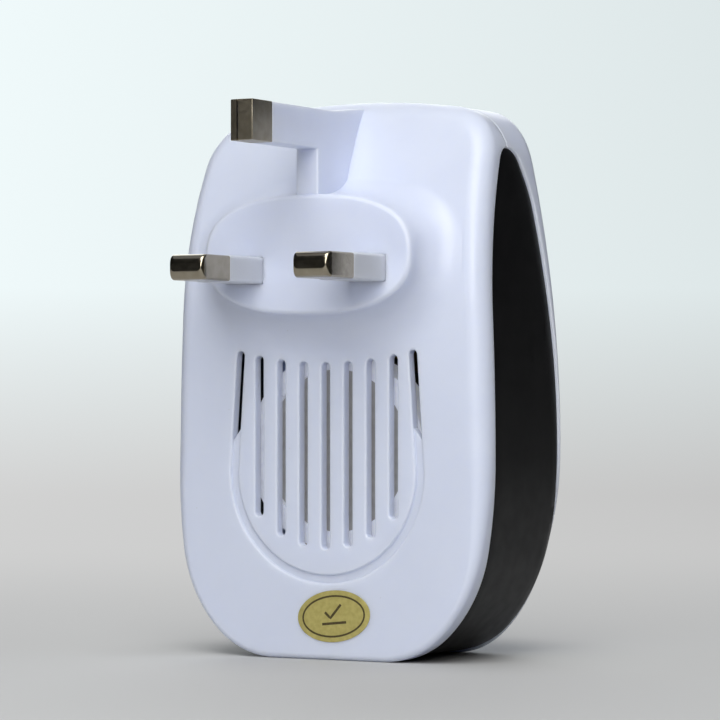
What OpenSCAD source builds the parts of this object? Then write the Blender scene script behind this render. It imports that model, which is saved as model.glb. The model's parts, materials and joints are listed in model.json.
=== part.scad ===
// Plug-in ultrasonic pest repeller with a three-pin plug moulded into its back.
// The body stands upright on its base: +Z is up, the domed front faces -Y and
// the plug pins point to +Y. The origin is the middle of the flat foot.

/* [Body] */
// Height of the body
body_h = 89.4; // [88:0.2:91]
// Thickness of the moulded walls
wall = 1.8; // [1.6:0.1:2]
// Depth from the middle of the foot to the flat part of the back
back_y = 15.8; // [15.4:0.1:16.4]
// Depth from the middle of the foot to the nose of the domed front
front_y = 21.5; // [21:0.1:23]
// Radius of the dome from side to side
dome_r_across = 46; // [42:1:50]
// Radius of the dome above its nose
dome_r_upper = 150; // [130:5:200]
// Radius of the dome below its nose
dome_r_lower = 75; // [70:5:100]
// Height of the dome's nose
dome_z = 33.8; // [32:0.2:36]
// Radius of the upper back, which leans away from the wall
lean_r = 62.5; // [60:0.5:70]
// Height where the upper back starts to lean
lean_z = 55.8; // [55:0.2:57]
// How far the side band sits in from the shells
band_step = 0.4; // [0.2:0.1:0.6]
// Width of the flat foot
foot_w = 18; // [12:1:19]

/* [Plug] */
// Height of the live and neutral pins above the foot
pin_z = 61.8; // [61.4:0.1:62.2]
// Distance between the live and neutral pins
pin_pitch = 22.2; // [22.2:0.01:22.25]
// Width of a live or neutral pin
pin_w = 6.35; // [6.3:0.01:6.4]
// Thickness of a live or neutral pin
pin_t = 3.97; // [3.9:0.01:4]
// Length of the live and neutral pins from the plug face
pin_len = 17.7; // [17.6:0.1:18]
// Length of the insulating sleeves from the plug face
sleeve_len = 9.6; // [9:0.1:9.6]
// Depth from the middle of the foot to the plug face
plug_y = 22; // [21.5:0.1:22.5]
// Half the width of the oval plug face
face_a = 18.8; // [18.4:0.1:19.2]
// Half the height of the oval plug face
face_b = 9.5; // [9.2:0.1:9.7]
// Height of the middle of the plug face above the pins
face_rise = 2.4; // [2.2:0.1:2.6]
// Width of the flare around the plug face
flare_w = 6.2; // [5:0.1:6.4]
// Height of the earth pin above the other pins
earth_rise = 22.2; // [22:0.05:22.25]
// Width of the earth pin and of the rib that carries it
earth_w = 4; // [3.9:0.05:4.1]
// Height of the earth pin's section
earth_h = 6.3; // [6:0.05:6.4]
// Length of the earth pin from the plug face
earth_len = 19.4; // [19:0.1:20]
// Length of the metal cap on the earth pin
earth_cap_len = 6; // [5:0.1:7]

/* [Sound slots] */
// Distance between the slots in the back
slot_pitch = 4.1; // [4:0.05:4.2]
// Width of a slot
slot_w = 1.5; // [1.2:0.1:1.6]
// Radius of the round groove under the slots
groove_r = 17; // [16.8:0.1:17.4]
// Height of the middle of the groove
groove_z = 29.8; // [29.4:0.1:30.2]
// Depth of the groove
groove_depth = 0.6; // [0.4:0.1:0.9]

/* [Transducer] */
// Height of the middle of the transducer
sound_z = 33.2; // [33:0.1:33.6]
// Outer radius of the transducer's rim
rim_r = 15.9; // [15.5:0.1:16]
// Radius of the transducer's diaphragm
disc_r = 13; // [12.5:0.1:13.5]

/* [Board] */
// Width of the circuit board
board_w = 38; // [36:1:40]
// Height of the circuit board
board_h = 56; // [54:1:58]
// Thickness of the circuit board
board_t = 1.6; // [1.2:0.2:1.6]

/* [Hidden] */

white = [0.88, 0.89, 0.95];
black = [0.07, 0.07, 0.08];
nickel = [0.66, 0.61, 0.52];
brass = [0.78, 0.62, 0.32];
copper = [0.72, 0.45, 0.25];
steel = [0.62, 0.63, 0.65];
gold = [0.72, 0.66, 0.35];

far = 200;           // longer than anything in the model
edge_r = 3;          // rounding of the back's edges
top_edge_r = 4;      // rounding at the top of the back
arc_steps = 8;       // straight pieces in each arc of an outline

// ---- Outlines ----

// Points of an arc that starts at p with heading h0 and turns left to heading h1
function arc(p, r, h0, h1, steps = arc_steps) = [
    for (i = [1:steps])
        let (h = h0 + (h1 - h0) * i / steps)
        p + r * [sin(h) - sin(h0), cos(h0) - cos(h)]
];
function last(list) = list[len(list) - 1];
function mirrored(list) = [for (i = [len(list) - 1:-1:0]) [-list[i].x, list[i].y]];

// The body from behind: a flat foot, three corner arcs, a bowed side and a crown
foot_half = 10;
corner_arc = arc([foot_half, 0], 15, 0, 45);
haunch_arc = arc(last(corner_arc), 24, 45, 80);
hip_arc = arc(last(haunch_arc), 85, 80, 90);
side_arc = arc(last(hip_arc), 548, 90, 95);
shoulder_r = 9.3;
shoulder_rise = shoulder_r * (cos(95) - cos(171));
crown_r = (last(side_arc).x - shoulder_r * (sin(95) - sin(171))) / sin(9);
crown_rise = crown_r * (1 - cos(9));
// The straight stretch that brings the crown to the body's height
side_top = [last(side_arc).x, body_h - crown_rise - shoulder_rise];
shoulder_arc = arc(side_top, shoulder_r, 95, 171);
crown_arc = arc(last(shoulder_arc), crown_r, 171, 180);
half_outline = concat([[foot_half, 0]], corner_arc, haunch_arc, hip_arc, side_arc,
                      shoulder_arc, crown_arc);
body_half_w = last(hip_arc).x;

// Section from front to back: straight below, leaning away above
lean_angle = asin((body_h - top_edge_r - lean_z) / (lean_r - top_edge_r));
back_line = concat(
    [[-far / 4, 0], [back_y - edge_r, 0]],
    arc([back_y - edge_r, 0], edge_r, 0, 90),
    [[back_y, lean_z]],
    arc([back_y, lean_z], lean_r, 90, 90 + lean_angle, 16)
);
section = concat(back_line, arc(last(back_line), top_edge_r, 90 + lean_angle, 180),
                 [[-far / 4, body_h]]);

// Depth of the outside of the back at height z
function back_at(z) = back_y - lean_r + sqrt(pow(lean_r, 2) - pow(max(0, z - lean_z), 2));

// The side band seen from the side: a straight then curving rear edge, a rounded
// tip at the shoulder, and a front edge that follows the dome down to the foot
band_rear_y = 12;
band_curve_z = 54;
tip_r = 3.4;
tip_front_r = 5;
rear_edge = concat([[band_rear_y, -1], [band_rear_y, band_curve_z]],
                   arc([band_rear_y, band_curve_z], 60, 90, 115));
tip_rear = arc(last(rear_edge), tip_r, 115, 180, 5);
tip_front = arc(last(tip_rear), tip_front_r, 180, 236, 5);
neck_start = last(tip_front) + 2.5 * [cos(236), sin(236)];
neck_arc = arc(neck_start, 20, 236, 254);
front_arc = arc(last(neck_arc), 175, 254, 270);
heel_arc = arc(last(front_arc), 90, 270, 285);
toe_arc = arc(last(heel_arc), 20, 285, 300);
front_edge = concat([neck_start], neck_arc, front_arc, heel_arc, toe_arc,
                    [[last(toe_arc).x, -1]]);
seam = [last(tip_rear).x, body_h + 1];
band_view = concat(rear_edge, tip_rear, tip_front, front_edge);
rear_view = concat(rear_edge, tip_rear, [seam, [far / 4, body_h + 1], [far / 4, -1]]);
front_view = concat([seam, last(tip_rear)], tip_front, front_edge,
                    [[-far / 4, -1], [-far / 4, body_h + 1]]);

// ---- Shared shapes ----

// A side view, in depth and height, carried across the whole width
module across(side_view) {
    rotate([90, 0, 90]) linear_extrude(far, center = true) polygon(side_view);
}
// A shape seen from the front, carried in depth from y0 to y1
module through(y0, y1) {
    translate([0, y1, 0]) rotate([90, 0, 0]) linear_extrude(y1 - y0) children();
}
// A round rod along Y
module rod(x, z, y0, y1, r) {
    translate([x, y0, z]) rotate([-90, 0, 0]) cylinder(y1 - y0, r, r, $fn = 48);
}
// A block given by its middle in X and Z and its two ends in Y
module block(x, z, y0, y1, w, h) {
    translate([x - w / 2, y0, z - h / 2]) cube([w, y1 - y0, h]);
}
// Points of a smooth curve that leaves p along a and reaches q along b
wire_steps = 8;
function curve(p, a, q, b) = [
    for (i = [0:wire_steps])
        let (t = i / wire_steps, s = 1 - t)
        s * s * s * p + 3 * s * s * t * (p + a) + 3 * s * t * t * (q - b) + t * t * t * q
];
function unit(v) = v / norm(v);
// A thin round wire along a route that never runs along X
module wire(route, r) {
    sides = 8;
    end = len(route) - 1;
    points = [
        for (i = [0:end])
            let (
                along = unit(route[min(i + 1, end)] - route[max(i - 1, 0)]),
                u = unit(cross(along, [1, 0, 0])),
                v = cross(along, u)
            )
            for (k = [0:sides - 1])
                route[i] + r * (cos(360 * k / sides) * u + sin(360 * k / sides) * v)
    ];
    faces = concat(
        [[for (k = [0:sides - 1]) k]],
        [[for (k = [sides - 1:-1:0]) end * sides + k]],
        [for (i = [0:end - 1]) for (k = [0:sides - 1])
            let (n = (k + 1) % sides)
            [i * sides + n, i * sides + k, (i + 1) * sides + k, (i + 1) * sides + n]]
    );
    polyhedron(points, faces);
}

// ---- Body ----

// A ring whose outer skin is the dome, with its nose at front_y
module dome_ring(r, inset) {
    translate([0, r - front_y, dome_z])
        rotate([0, 90, 0])
            rotate_extrude($fn = 200)
                intersection() {
                    translate([r - dome_r_across, 0]) circle(dome_r_across - inset, $fn = 120);
                    translate([r - 42, -far / 4]) square([42, far / 2]);
                }
}
// The dome is two rings that meet at the nose, the flatter one above it
module dome(inset) {
    intersection() {
        dome_ring(dome_r_upper, inset);
        translate([-far / 2, -far / 2, dome_z]) cube(far);
    }
    intersection() {
        dome_ring(dome_r_lower, inset);
        translate([-far / 2, -far / 2, dome_z - far]) cube(far);
    }
}
// The body from above: straight sides and rounded rear edges
module plan(inset) {
    half_w = body_half_w - inset;
    back = back_y - inset;
    translate([0, 0, -far / 4]) linear_extrude(far) {
        translate([-half_w, -far / 4]) square([2 * half_w, far / 4 + back - edge_r]);
        translate([edge_r - half_w, -far / 4])
            square([2 * (half_w - edge_r), far / 4 + back]);
        for (side = [-1, 1])
            translate([side * (half_w - edge_r), back - edge_r]) circle(edge_r, $fn = 48);
    }
}
// The closed outer form of the body, moved in by a distance
module body(inset = 0) {
    intersection() {
        through(-far / 4, far / 4)
            offset(delta = -inset) polygon(concat(half_outline, mirrored(half_outline)));
        rotate([90, 0, 90]) linear_extrude(far, center = true)
            offset(delta = -inset) polygon(section);
        plan(inset);
        dome(inset);
    }
}
// The wall between the outer form and the hollow, cut to one part's side view
module shell_part(side_view, inset = 0) {
    intersection() {
        difference() {
            body(inset);
            body(inset + wall);
        }
        across(side_view);
    }
}

// ---- Plug ----

// Point of the oval plug face at angle t, moved out by d
oval_power = 0.8;
face_z = pin_z + face_rise;
function oval(t, d) = [
    (face_a + d) * sign(cos(t)) * pow(abs(cos(t)), oval_power),
    face_z + (face_b + d) * sign(sin(t)) * pow(abs(sin(t)), oval_power)
];
rim = 0.8;
oval_steps = 64;
// Above the face the flare is half as wide
function flare_share(t) = 1 - 0.5 * pow(max(0, sin(t)), 1.6);
// Each ring of the raised face is [distance out, share of the drop to the back, extra depth]
boss_rings = concat(
    [[-rim, 0, 0], [-0.3 * rim, 0, 0.3 * rim], [0, 0, rim]],
    [for (a = [15:15:90]) [flare_w * (1 - cos(a)), sin(a), rim]],
    [[flare_w, 1, rim + wall / 2]]
);
function ring_point(t, ring) =
    let (p = oval(t, ring[0] > 0 ? ring[0] * flare_share(t) : ring[0]),
         drop = plug_y - rim - back_at(p.y))
    [p.x, plug_y - ring[2] - ring[1] * drop, p.y];
module boss() {
    n = oval_steps;
    end = len(boss_rings) - 1;
    points = concat(
        [for (ring = boss_rings) for (k = [0:n - 1]) ring_point(360 * k / n, ring)],
        [[0, back_y - wall / 2, face_z]]
    );
    faces = concat(
        [[for (k = [0:n - 1]) k]],
        [for (j = [0:end - 1]) for (k = [0:n - 1])
            [j * n + (k + 1) % n, j * n + k, (j + 1) * n + k]],
        [for (j = [0:end - 1]) for (k = [0:n - 1])
            [j * n + (k + 1) % n, (j + 1) * n + k, (j + 1) * n + (k + 1) % n]],
        [for (k = [0:n - 1]) [(end + 1) * n, end * n + (k + 1) % n, end * n + k]]
    );
    polyhedron(points, faces);
}

sleeve_w = pin_w + 0.2;
sleeve_t = pin_t + 0.2;
core_w = pin_w - 0.6;
core_t = pin_t - 0.6;
sleeve_inner_y = 18;         // the sleeve's inner end, held in the shell
core_inner_y = 14;           // where the pin's core leaves the shell
foot_t = 1.2;                // the pin's foot, clamped by the retainer
tail_len = 5.8;              // the pin's soldering tail
retainer_y = core_inner_y - foot_t;
retainer_t = 2.2;
retainer_screw_x = 3.6;
earth_z = pin_z + earth_rise;
live_x = pin_pitch / 2;
tip_round = 1.3;

// The blade's side view: a flat core with a rounded tip beyond the sleeve
module pin(x) {
    tip_y = plug_y + pin_len;
    sleeve_y = plug_y + sleeve_len;
    half_t = pin_t / 2;
    color(nickel) {
        translate([x, 0, pin_z]) rotate([90, 0, 90]) linear_extrude(pin_w, center = true) {
            translate([sleeve_y, -half_t])
                square([tip_y - tip_round - sleeve_y, pin_t]);
            translate([sleeve_y, tip_round - half_t])
                square([tip_y - sleeve_y, pin_t - 2 * tip_round]);
            for (side = [-1, 1])
                translate([tip_y - tip_round, side * (half_t - tip_round)])
                    circle(tip_round, $fn = 32);
        }
        block(x, pin_z, core_inner_y, sleeve_y, core_w, core_t);
        block(x, pin_z, retainer_y, core_inner_y, core_w + 1.6, core_t + 1.4);
        block(x, pin_z, retainer_y - tail_len, retainer_y, 3, 1.2);
    }
}
module sleeve(x) {
    color(white) difference() {
        block(x, pin_z, sleeve_inner_y, plug_y + sleeve_len, sleeve_w, sleeve_t);
        block(x, pin_z, sleeve_inner_y - 1, plug_y + sleeve_len + 1, core_w, core_t);
    }
}
module earth_pin_cap() {
    cap_wall = 0.5;
    tip = plug_y + earth_len;
    slit_x = earth_w / 6;
    color(nickel) difference() {
        block(0, earth_z, tip - earth_cap_len, tip, earth_w, earth_h);
        block(0, earth_z, tip - earth_cap_len - 1, tip - cap_wall,
              earth_w - 2 * cap_wall, earth_h - 2 * cap_wall);
        block(slit_x, earth_z, tip - cap_wall - 0.1, tip + 1, 0.25, earth_h - 1);
    }
}
module pin_retainer() {
    color(white) difference() {
        block(0, pin_z, retainer_y - retainer_t, retainer_y, 33, 8.4);
        for (side = [-1, 1]) {
            block(side * live_x, pin_z, 0, far, 3, 1.2);
            rod(side * retainer_screw_x, pin_z, 0, far, 1.1);
        }
    }
}
module retainer_screws() {
    color(steel)
        for (side = [-1, 1]) {
            rod(side * retainer_screw_x, pin_z, retainer_y - retainer_t, retainer_y + 5, 1.1);
            rod(side * retainer_screw_x, pin_z, retainer_y - retainer_t - 1.4,
                retainer_y - retainer_t, 2.1);
        }
}
terminal_inner_y = 2.8;
module terminal(x) {
    tail_end = retainer_y - tail_len;
    color(brass) difference() {
        block(x, pin_z, terminal_inner_y, tail_end + 2.4, 4.4, 2.4);
        block(x, pin_z, tail_end, far, 3, 1.2);
    }
}

// ---- Rear shell ----

// A straight slot from z0 to z1 with round ends
module slot(x, z0, z1, w) {
    translate([x - w / 2, z0]) square([w, z1 - z0]);
    for (z = [z0, z1]) translate([x, z]) circle(w / 2, $fn = 24);
}
slot_top_z = 46.5;
inner_slots = 3;             // slots on each side of the middle one, inside the groove
outer_slot_x = 15.8;         // upper end of the outermost pair, which lean outwards
outer_slot_z = 48.4;
outer_slot_end = 35.6;       // below here the outermost pair is only a groove
module inner_slots() {
    for (k = [-inner_slots:inner_slots]) {
        x = k * slot_pitch;
        reach = 11.5 + 0.265 * k * k;
        slot(x, groove_z - sqrt(reach * reach - x * x), slot_top_z + k * k / 8, slot_w);
    }
}
// The two arms that lean in from the groove's ends to the outermost slots
module arms(w) {
    for (side = [-1, 1]) {
        polygon([
            [side * groove_r - w / 2, groove_z], [side * groove_r + w / 2, groove_z],
            [side * outer_slot_x + w / 2, outer_slot_z], [side * outer_slot_x - w / 2, outer_slot_z]
        ]);
        translate([side * outer_slot_x, outer_slot_z]) circle(w / 2, $fn = 24);
    }
}
module horseshoe(w) {
    translate([0, groove_z]) difference() {
        circle(groove_r + w / 2, $fn = 96);
        circle(groove_r - w / 2, $fn = 96);
        translate([-far / 2, 0]) square(far);
    }
    arms(w);
}
// A fin from the plug face to the body's top that carries the earth pin
module earth_rib() {
    low_z = face_z + 3;
    top_z = earth_z + earth_h / 2;
    back = [for (z = [low_z:3:top_z - 1]) [back_at(z) - wall / 2, z]];
    translate([-earth_w / 2, 0, 0]) rotate([90, 0, 90]) linear_extrude(earth_w)
        polygon(concat(back, [[6, top_z + 1], [plug_y - 0.5, top_z], [plug_y - 0.5, low_z]]));
}
pad_angles = [0, 90, 180];
transducer_back_y = 12.5;    // the side of the transducer that faces the slots
module rear_shell() {
    cap_y = plug_y + earth_len - earth_cap_len;
    pilot_r = 1.1;
    color(white) difference() {
        union() {
            difference() {
                union() {
                    shell_part(rear_view);
                    boss();
                    earth_rib();
                }
                // the hollow behind the plug face
                through(0, plug_y - 2.2)
                    polygon([for (k = [0:oval_steps - 1]) oval(360 * k / oval_steps, -2.4)]);
            }
            // sockets for the live and neutral pins
            for (side = [-1, 1]) {
                block(side * live_x, pin_z, core_inner_y, plug_y - 2, 8.6, 6.4);
                rod(side * retainer_screw_x, pin_z, retainer_y, plug_y - 2, 2.3);
            }
            // the earth pin and its tongue inside the metal cap
            block(0, earth_z, plug_y - 0.5, cap_y, earth_w, earth_h);
            block(0, earth_z, cap_y, cap_y + earth_cap_len - 0.5, earth_w - 1, earth_h - 1);
            // pads that hold the transducer off the slots
            for (a = pad_angles)
                rod((rim_r - 1.4) * cos(a), sound_z + (rim_r - 1.4) * sin(a),
                    transducer_back_y, back_y - wall / 2, 1.1);
        }
        for (side = [-1, 1]) {
            block(side * live_x, pin_z, 0, far, core_w, core_t);
            block(side * live_x, pin_z, sleeve_inner_y, far, sleeve_w, sleeve_t);
            rod(side * retainer_screw_x, pin_z, 0, retainer_y + 5, pilot_r);
        }
        through(back_y - wall - 1, back_y + 1) {
            inner_slots();
            intersection() {
                arms(slot_w);
                translate([-far / 2, outer_slot_end]) square(far);
            }
        }
        through(back_y - groove_depth, back_y + 1) horseshoe(slot_w);
    }
}

// ---- Front shell and side band ----

board_y = -4;                // the board's face towards the plug
board_z = 37;                // height of the board's middle
post_x = board_w / 2 - 4;
post_zs = [board_z - board_h / 2 + 5, board_z + board_h / 2 - 5];
screw_r = 1.1;
lens_r = 2.5;
lens_z = 60;
module front_shell() {
    post_end = board_y - board_t;
    color(white) difference() {
        union() {
            shell_part(front_view);
            intersection() {
                for (x = [-post_x, post_x]) for (z = post_zs) rod(x, z, -far / 4, post_end, 3);
                body(wall / 2);
            }
        }
        rod(0, lens_z, -far / 4, 0, lens_r);
        for (x = [-post_x, post_x]) for (z = post_zs) rod(x, z, post_end - 6, 0, screw_r);
    }
}
module side_band() {
    foot_d = band_rear_y - 0.2 - last(toe_arc).x;
    color(black) {
        shell_part(band_view, band_step);
        translate([-foot_w / 2, last(toe_arc).x, 0]) cube([foot_w, foot_d, wall]);
    }
}

// ---- Transducer ----

module transducer_rim() {
    color(white) difference() {
        rod(0, sound_z, 7, transducer_back_y, rim_r);
        rod(0, sound_z, 0, far, disc_r);
    }
}
module transducer_disc() {
    color([0.52, 0.49, 0.47]) {
        rod(0, sound_z, 11, 11.6, disc_r);
        rod(0, sound_z, 10.4, 11, 9);
    }
}
module transducer_case() {
    color(black) difference() {
        rod(0, sound_z, 3, 7, rim_r);
        rod(0, sound_z, 4.5, far, disc_r);
    }
}
module transducer_leads() {
    color([0.75, 0.1, 0.1])
        for (side = [-1, 1])
            wire(curve([side * 3, 3, 33], [0, -4, 0], [side * 5, board_y, 43], [0, -4, 0]), 0.6);
}
module mains_lead(side, tint) {
    start = [side * live_x, terminal_inner_y, pin_z];
    color(tint)
        wire(curve(start, [side * 2, -5, 0], [side * 12, board_y, 53], [0, -3, 2]), 0.9);
}

// ---- Board ----

front_face = board_y - board_t;
module circuit_board() {
    color([0.45, 0.36, 0.2]) difference() {
        block(0, board_z, front_face, board_y, board_w, board_h);
        for (x = [-post_x, post_x]) for (z = post_zs) rod(x, z, -far / 4, far, screw_r);
    }
}
module board_screws() {
    color(steel)
        for (x = [-post_x, post_x]) for (z = post_zs) {
            rod(x, z, front_face - 5, board_y, screw_r);
            rod(x, z, board_y, board_y + 1.4, 2.2);
        }
}
// A round part that lies across the board on two bent leads
module lying_part(x, z, r, length) {
    lead_r = 0.3;
    lift = front_face - r - 0.3;
    for (side = [-1, 1]) {
        translate([x, lift, z]) rotate([0, side * 90, 0])
            cylinder(length / 2 + 1.5, lead_r, lead_r, $fn = 16);
        rod(x + side * (length / 2 + 1.5), z, lift, front_face, lead_r);
        translate([x + side * (length / 2 + 1.5), lift, z]) sphere(lead_r, $fn = 16);
    }
    translate([x - length / 2, lift, z]) rotate([0, 90, 0]) cylinder(length, r, r, $fn = 40);
}
module dropper_capacitor() {
    color([0.75, 0.6, 0.2]) block(-7, 49, front_face - 8.5, front_face, 15, 7);
}
module smoothing_capacitor() {
    color([0.15, 0.2, 0.35]) {
        rod(9, 46, front_face - 9, front_face - 0.8, 4);
        rod(9, 46, front_face - 0.8, front_face, 3.6);
    }
}
module rectifier_diodes() {
    color([0.12, 0.12, 0.13])
        for (k = [0:3]) lying_part(-9.5, 40.5 - 3.6 * k, 1.3, 5);
}
module fuse_resistor() {
    color([0.35, 0.55, 0.4]) lying_part(7, 38, 1.6, 9);
}
module resistors() {
    color([0.8, 0.7, 0.5])
        for (k = [0:3]) lying_part(7.5, 33 - 3.2 * k, 1.1, 6);
}
module oscillator_chip() {
    color([0.12, 0.12, 0.13]) {
        block(-8.5, 22, front_face - 3.9, front_face - 0.6, 9.6, 6.4);
        for (k = [-1.5:1.5]) for (side = [-1, 1])
            block(-8.5 + 2.54 * k, 22 + side * 3.5, front_face - 2, front_face, 0.5, 0.6);
        block(-8.5, 22, front_face - 0.6, front_face, 2, 2);
    }
}
module driver_transistors() {
    color([0.12, 0.12, 0.13])
        for (z = [14.5, 19.5])
            difference() {
                rod(1.6, z, front_face - 5, front_face, 2.3);
                block(1.6, z + 3.5, -far / 4, far, 6, 4);
            }
}
module output_coil() {
    color(copper) {
        rod(9.5, 16.5, front_face - 7, front_face - 6, 4.6);
        rod(9.5, 16.5, front_face - 6, front_face - 1, 3.8);
        rod(9.5, 16.5, front_face - 1, front_face, 4.6);
    }
}
lens_inner_y = -16;
module indicator_led() {
    led_r = 1.5;
    color([0.9, 0.25, 0.2]) {
        rod(0, lens_z, lens_inner_y + led_r, front_face - 4, led_r);
        translate([0, lens_inner_y + led_r, lens_z]) sphere(led_r, $fn = 32);
        rod(0, lens_z, front_face - 5, front_face - 4, led_r + 0.4);
        for (side = [-1, 1]) rod(side * 0.9, lens_z, front_face - 4, front_face, 0.3);
    }
}
module indicator_lens() {
    color([0.95, 0.5, 0.45]) difference() {
        intersection() {
            rod(0, lens_z, -far / 4, lens_inner_y + 0.4, lens_r);
            body(0);
        }
        translate([0, lens_inner_y + 1.5, lens_z]) sphere(1.6, $fn = 32);
    }
}

// ---- Sticker ----

module inspection_sticker() {
    color(gold)
        translate([-1.6, 0, 7]) through(back_y, back_y + 0.12)
            polygon([for (a = [0:6:354]) [6.6 * cos(a), 4.1 * sin(a)]]);
}

rear_shell();
front_shell();
side_band();
pin(live_x);  // live_pin
pin(-live_x);  // neutral_pin
sleeve(live_x);  // live_pin_sleeve
sleeve(-live_x);  // neutral_pin_sleeve
earth_pin_cap();
pin_retainer();
retainer_screws();
terminal(live_x);  // live_terminal
terminal(-live_x);  // neutral_terminal
mains_lead(1, [0.45, 0.28, 0.15]);  // live_lead
mains_lead(-1, [0.2, 0.35, 0.7]);  // neutral_lead
transducer_rim();
transducer_disc();
transducer_case();
transducer_leads();
circuit_board();
board_screws();
dropper_capacitor();
smoothing_capacitor();
rectifier_diodes();
fuse_resistor();
resistors();
oscillator_chip();
driver_transistors();
output_coil();
indicator_led();
indicator_lens();
inspection_sticker();
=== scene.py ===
import json
import math

import bmesh
import bpy
import numpy as np
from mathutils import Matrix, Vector


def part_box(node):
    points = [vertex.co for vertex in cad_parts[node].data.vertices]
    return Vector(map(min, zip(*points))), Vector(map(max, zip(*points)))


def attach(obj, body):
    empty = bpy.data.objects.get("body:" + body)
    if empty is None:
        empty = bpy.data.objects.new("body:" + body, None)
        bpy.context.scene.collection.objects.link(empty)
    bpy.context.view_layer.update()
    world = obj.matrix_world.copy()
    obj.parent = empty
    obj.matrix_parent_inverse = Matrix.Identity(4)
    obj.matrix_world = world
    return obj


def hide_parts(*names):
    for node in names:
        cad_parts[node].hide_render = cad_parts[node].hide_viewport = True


# Looks of a plug-in ultrasonic pest repeller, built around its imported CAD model.
# Shapes are worked out in millimetres in the CAD frame and scaled by MM when a mesh is made.
MM = 0.001

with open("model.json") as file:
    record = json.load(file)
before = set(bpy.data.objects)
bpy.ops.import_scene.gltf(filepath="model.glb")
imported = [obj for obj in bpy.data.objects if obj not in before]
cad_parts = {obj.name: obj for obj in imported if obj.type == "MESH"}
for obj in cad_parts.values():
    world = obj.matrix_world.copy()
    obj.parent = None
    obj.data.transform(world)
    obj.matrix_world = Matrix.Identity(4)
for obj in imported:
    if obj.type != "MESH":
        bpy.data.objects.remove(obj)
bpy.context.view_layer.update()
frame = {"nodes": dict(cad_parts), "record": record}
NODES = frame["nodes"]
MOUNTS = {mount["name"]: mount for mount in frame["record"]["mounts"]}


def corners(node):
    """Lowest and highest corner of a CAD node, in millimetres."""
    low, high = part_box(node)
    return np.array(low) / MM, np.array(high) / MM


def mount_point(name):
    return np.array(MOUNTS[name]["pos_m"]) / MM


# ---- Sizes ----

SHELL_LOW, SHELL_HIGH = corners("rear_shell")
BODY_H = SHELL_HIGH[2]
BACK_Y = corners("inspection_sticker")[0][1]
NOSE_Y = corners("front_shell")[0][1]
PLUG_Y = mount_point("plug_face")[1]
PIN_Z = mount_point("live_pin")[2]
EARTH_Z = mount_point("earth_pin")[2]
SOUND_Z = np.mean([c[2] for c in corners("transducer_rim")])
LENS_Z = np.mean([c[2] for c in corners("indicator_lens")])

WALL = 1.8
GAP = 0.05               # between the side band and the shells
LIP = 0.28               # rounding of the shells' edges at the seams
BAND_STEP = 0.4          # how far the band sits in from the shells

# Outline seen from behind: each arc is (radius, first heading, last heading)
FOOT_HALF = 10.0
LOWER_ARCS = [(15.0, 0, 45), (24.0, 45, 80), (85.0, 80, 90)]
SIDE_ARC = (548.0, 90, 95)
SHOULDER_ARC = (9.3, 95, 171)

# Section from front to back
LEAN_R = 62.5
LEAN_Z = 55.8
EDGE_R = 3.0             # rounding of the back's edges
TOP_EDGE_R = 2.4         # the same at the crown
FOOT_EDGE_R = 1.0        # and round the foot
DOME_ACROSS = 46.0
DOME_UPPER = 150.0
DOME_LOWER = 75.0
DOME_Z = 33.8
FRONT_EDGE_R = 1.2
FRONT_FOOT_R = 2.6

# Side band: its rear edge is straight, then an arc up to a rounded tip
BAND_REAR_Y = 12.0
BAND_CURVE_Z = 54.0
BAND_CURVE_R = 60.0
BAND_TIP_R = 3.4         # rear half of its tip
BAND_TIP_FRONT_R = 5.0   # front half
FOOT_PAD_HALF = 9.0

# Plug
FACE_Z = PIN_Z + 2.4
FACE_A = 18.8
FACE_B = 9.5
FACE_POWER = 2.5
RIM = 0.8
FLARE = 6.2
EARTH_W = 4.0
EARTH_H = 6.3

# Sound slots
SLOT_PITCH = 4.1
SLOT_HALF = 0.75
SLOT_TOP = 46.5
INNER_SLOTS = 3
GROOVE_R = 17.0
GROOVE_Z = 29.8
GROOVE_DEPTH = 0.6
OUTER_SLOT = (15.8, 48.4)
OUTER_SLOT_END = 35.6


# Sticker
STICKER_TILT = -6        # degrees; it rises to the right as seen from behind


# ---- Curves ----


def arc(start, radius, first, last, steps=48):
    """Points (x, z, heading) of an arc that leaves start at one heading and turns left to another."""
    headings = np.linspace(first, last, steps + 1)
    turn = np.radians(headings)
    x = start[0] + radius * (np.sin(turn) - math.sin(turn[0]))
    z = start[1] + radius * (math.cos(turn[0]) - np.cos(turn))
    return np.column_stack([x, z, headings])


def half_outline():
    """The outline's right half from the foot to the crown, as dense points (x, z, heading)."""
    parts = [np.array([[0.0, 0.0, 0.0], [FOOT_HALF, 0.0, 0.0]])]
    for radius, first, last in LOWER_ARCS:
        parts.append(arc(parts[-1][-1], radius, first, last)[1:])
    side = arc(parts[-1][-1], *SIDE_ARC)
    radius, first, last = SHOULDER_ARC
    shoulder = arc(side[-1], radius, first, last)
    crown_turn = math.radians(180 - last)
    crown_r = shoulder[-1, 0] / math.sin(crown_turn)
    crown = arc(shoulder[-1], crown_r, last, 180)
    # the side stretches a little so that the crown reaches the body's height
    spare = BODY_H - crown[-1, 1]
    side[:, 1] += spare * (side[:, 1] - side[0, 1]) / (side[-1, 1] - side[0, 1])
    shoulder[:, 1] += spare
    crown[:, 1] += spare
    return np.vstack(parts + [side[1:], shoulder[1:], crown[1:]])


def smooth(t):
    t = np.clip(t, 0, 1)
    return t * t * (3 - 2 * t)


def back_at(z):
    """Depth of the outside of the back at height z: upright below, leaning away above."""
    rise = np.maximum(0, z - LEAN_Z)
    return BACK_Y - LEAN_R + np.sqrt(LEAN_R**2 - rise**2)


def dome_at(x, z):
    """Depth of the front dome."""
    radius = np.where(z > DOME_Z, DOME_UPPER, DOME_LOWER)
    across = radius - DOME_ACROSS + np.sqrt(DOME_ACROSS**2 - x**2)
    return radius + NOSE_Y - np.sqrt(across**2 - (z - DOME_Z) ** 2)


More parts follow.
